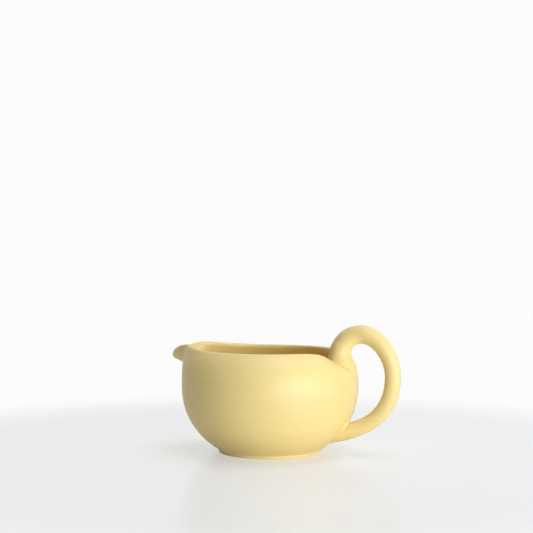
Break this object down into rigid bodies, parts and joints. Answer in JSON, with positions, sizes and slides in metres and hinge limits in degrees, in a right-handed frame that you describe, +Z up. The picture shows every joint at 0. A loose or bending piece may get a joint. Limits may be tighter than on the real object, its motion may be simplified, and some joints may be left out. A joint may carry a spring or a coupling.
{
  "type": "tea cooling pitcher",
  "caption": "Small one-piece clay pitcher for cooling and sharing tea: a round closed-in bowl with a short pouring lip and a coil handle rising from the rim.",
  "frame": {"origin": "middle of the foot ring, on the surface that the pitcher stands on, which is on the bowl's own axis", "axes": "+X towards the handle, -X towards the pouring lip, +Z up out of the mouth"},
  "size_m": [0.1206, 0.09, 0.0648],
  "materials": {
    "fired_clay": "matte straw-yellow fired clay"
  },
  "bodies": {
    "root": {"pitcher": "fired_clay"}
  },
  "joints": []
}
